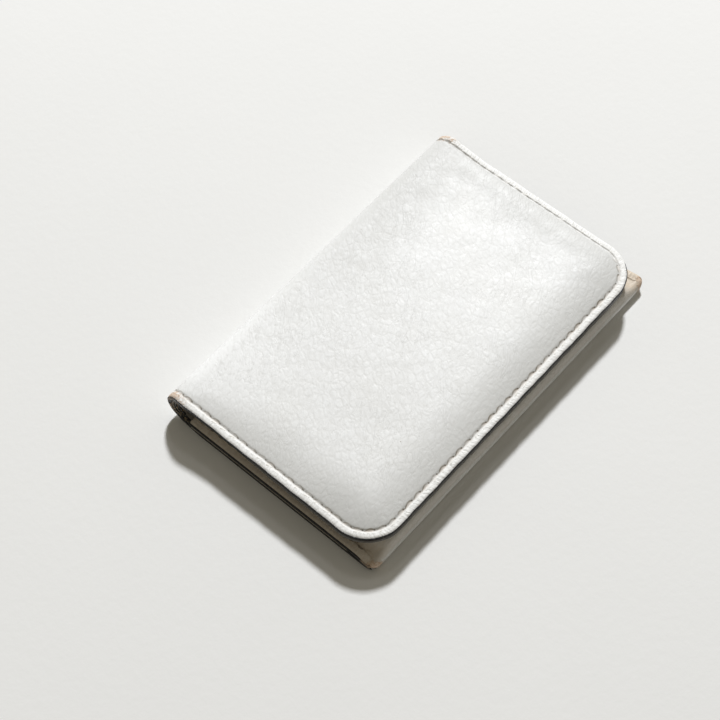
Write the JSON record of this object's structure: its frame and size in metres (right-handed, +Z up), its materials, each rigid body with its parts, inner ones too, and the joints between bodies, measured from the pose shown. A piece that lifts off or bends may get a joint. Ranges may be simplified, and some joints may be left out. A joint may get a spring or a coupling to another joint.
{
  "type": "business card case",
  "caption": "Folding leather business card case: a gusseted card pocket under a rounded, stitched flap that opens flat about a rolled spine.",
  "frame": {"origin": "under the middle of the closed case, on the surface that it lies on", "axes": "+X along the long side, -Y to the front where the flap opens, +Y to the spine, +Z up"},
  "size_m": [0.107, 0.0694, 0.0106],
  "materials": {
    "white_hide": "smooth fine-grained white leather, satin, with black painted edges",
    "lining_leather": "thin matt taupe leather lining",
    "thread": "thick waxed white thread",
    "board": "thin fibre board, hidden"
  },
  "bodies": {
    "case": {"back_panel": "white_hide", "back_lining": "lining_leather", "front_fold": "white_hide", "pocket_front": "white_hide", "pocket_lining": "lining_leather", "gusset_left": "lining_leather", "gusset_right": "lining_leather", "back_stitches_left": "thread", "back_stitches_right": "thread", "pocket_stitches_left": "thread", "pocket_stitches_right": "thread", "mouth_stitches": "thread"},
    "spine": {"spine_hide": "white_hide", "spine_lining": "lining_leather"},
    "flap": {"flap_outer": "white_hide", "flap_reinforcement": "board", "flap_lining": "lining_leather", "flap_slip_pocket": "lining_leather", "flap_stitches": "thread"}
  },
  "joints": [
    {"name": "spine_fold", "type": "hinge", "parent": "case", "child": "spine", "pos_m": [0, 0.03326, 0.00149], "axis": [-1, 0, 0], "range_deg": [0, 90]},
    {"name": "flap_fold", "type": "hinge", "parent": "spine", "child": "flap", "pos_m": [0, 0.03326, 0.00911], "axis": [-1, 0, 0], "range_deg": [0, 90]}
  ],
  "couplings": [
    {"joint": "spine_fold", "follows": "flap_fold", "ratio": 1}
  ]
}
